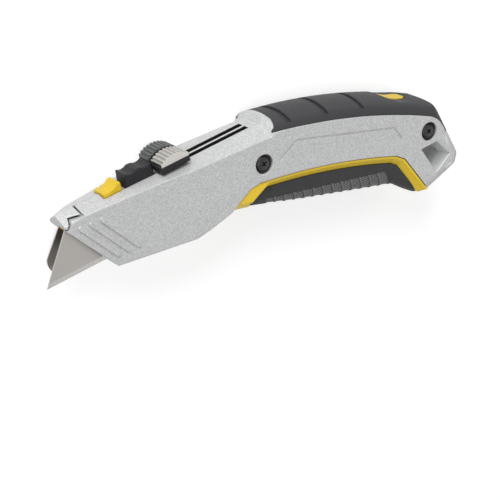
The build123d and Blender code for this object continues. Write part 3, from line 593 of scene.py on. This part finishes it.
# Body screws: domed heads on a flange, with a cross recess, sizes in millimetres from their top
screw_low, screw_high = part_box("body_screws")
screw_top = screw_high.z
shank_end = (screw_low.z - screw_top) / MM
tail_screw = Vector((79.8 * MM, -22.2 * MM, 0))  # from the front screw, which is at the origin
screw_steps = 48
crown_radius = 1.75
crown_level = -0.06
head_outline = [
    (crown_radius, crown_level), (2.2, -0.16), (2.6, -0.34), (2.95, -0.62), (3.2, -0.98), (3.3, -1.3),
    (3.45, -1.36), (3.8, -1.3), (3.9, -1.4), (3.9, -1.9), (1.6, -1.9), (1.6, shank_end), (0, shank_end),
]
arm = 1.35                   # reach of the cross recess
wing = 0.4                   # half width of its arms
cross_outline = [
    (arm, -wing), (arm, wing), (wing, wing), (wing, arm), (-wing, arm), (-wing, wing),
    (-arm, wing), (-arm, -wing), (-wing, -wing), (-wing, -arm), (wing, -arm), (wing, -wing),
]
cross_level = -0.05
cross_depth = 1.1
cross_taper = 0.6
cross_turn = 0.35

screws = bmesh.new()
outline = [screws.verts.new((r * MM, 0, screw_top + z * MM)) for r, z in head_outline]
outline_edges = [screws.edges.new(pair) for pair in zip(outline, outline[1:])]
bmesh.ops.spin(
    screws, geom=[*outline, *outline_edges], cent=(0, 0, 0), axis=(0, 0, 1), angle=math.tau,
    steps=screw_steps, use_merge=True,
)
crown_place = Matrix.Translation((0, 0, screw_top + crown_level * MM))
crown = bmesh.ops.create_circle(
    screws, segments=screw_steps, radius=crown_radius * MM, matrix=crown_place
)["verts"]
corners = [screws.verts.new((x * MM, y * MM, screw_top + cross_level * MM)) for x, y in cross_outline]
recess = screws.faces.new(corners)
crown_edges = [e for e in screws.edges if all(v in crown for v in e.verts)]
bmesh.ops.bridge_loops(screws, edges=[*crown_edges, *recess.edges])
recess_floor = bmesh.ops.extrude_discrete_faces(screws, faces=[recess])["faces"][0].verts
bmesh.ops.translate(screws, verts=recess_floor, vec=(0, 0, -cross_depth * MM))
bmesh.ops.scale(screws, verts=recess_floor, vec=(cross_taper, cross_taper, 1))
bmesh.ops.remove_doubles(screws, verts=screws.verts, dist=weld)
bmesh.ops.rotate(screws, verts=screws.verts, cent=(0, 0, 0), matrix=Matrix.Rotation(cross_turn, 3, "Z"))
copied = bmesh.ops.duplicate(screws, geom=[*screws.verts, *screws.edges, *screws.faces])["geom"]
copied_points = [v for v in copied if isinstance(v, bmesh.types.BMVert)]
bmesh.ops.translate(screws, verts=copied_points, vec=tail_screw)
keep_piece(screws, "cross_screws", "body_screws", "body", [screw_black], smooth_angle=30)


# Floor, light and camera


def pale_floor():
    """Floor that the camera sees as white, and that keeps the shadow."""
    floor_glow = 0.52
    made, tree, shader = start_material(
        "pale_floor", Base_Color=(0.8, 0.8, 0.8, 1), Roughness=0.9, Specular_IOR_Level=0.0,
        Emission_Color=white,
    )
    feed(tree, shader, Emission_Strength=product(tree, seen_directly(tree), floor_glow))
    return made


floor_half = 3.0
floor_level = -0.2 * MM
slab = bmesh.new()
bmesh.ops.create_grid(
    slab, x_segments=2, y_segments=2, size=floor_half, matrix=Matrix.Translation((0, 0, floor_level))
)
floor_mesh = bpy.data.meshes.new("floor")
slab.to_mesh(floor_mesh)
slab.free()
floor_mesh.materials.append(pale_floor())
floor = bpy.data.objects.new("floor", floor_mesh)
scene.collection.objects.link(floor)

sky_light = 0.3              # strength on the knife
sky_seen = 1.0               # strength as the camera sees it
world = bpy.data.worlds.new("studio")
world.use_nodes = True
scene.world = world
air = world.node_tree
sky = air.nodes["Background"]
sky.inputs["Color"].default_value = white
air.links.new(spread(air, seen_directly(air), unit, (sky_light, sky_seen)), sky.inputs["Strength"])


def softbox(name, spot, size, power):
    """A square soft light at a spot, aimed at the origin."""
    lamp = bpy.data.lights.new(name, "AREA")
    lamp.shape = "SQUARE"
    lamp.size = size
    lamp.energy = power
    made = bpy.data.objects.new(name, lamp)
    made.location = spot
    made.rotation_mode = "QUATERNION"
    made.rotation_quaternion = (-Vector(spot)).to_track_quat("-Z", "Y")
    scene.collection.objects.link(made)


softbox("key_light", (-0.25, 1.3, 0.6), size=1.1, power=17.0)
softbox("side_light", (-0.6, 0.1, 1.1), size=0.9, power=3.2)
softbox("fill_light", (0.8, -0.6, 0.8), size=0.8, power=1.5)

camera = bpy.data.cameras.new("camera")
camera.lens = 114.03
camera.sensor_width = 36.0
camera.clip_start = 0.01
viewer = bpy.data.objects.new("camera", camera)
eye = Vector((-0.2690, 0.2648, 0.5154))
right = Vector((0.80263, -0.22483, 0.55248))
up = Vector((0.43744, 0.85156, -0.28896))
back = Vector((-0.40550, 0.47360, 0.78184))
turn = Matrix((right, up, back)).transposed()
viewer.matrix_world = Matrix.Translation(eye) @ turn.to_4x4()
scene.collection.objects.link(viewer)
scene.camera = viewer
scene.view_settings.view_transform = "Standard"
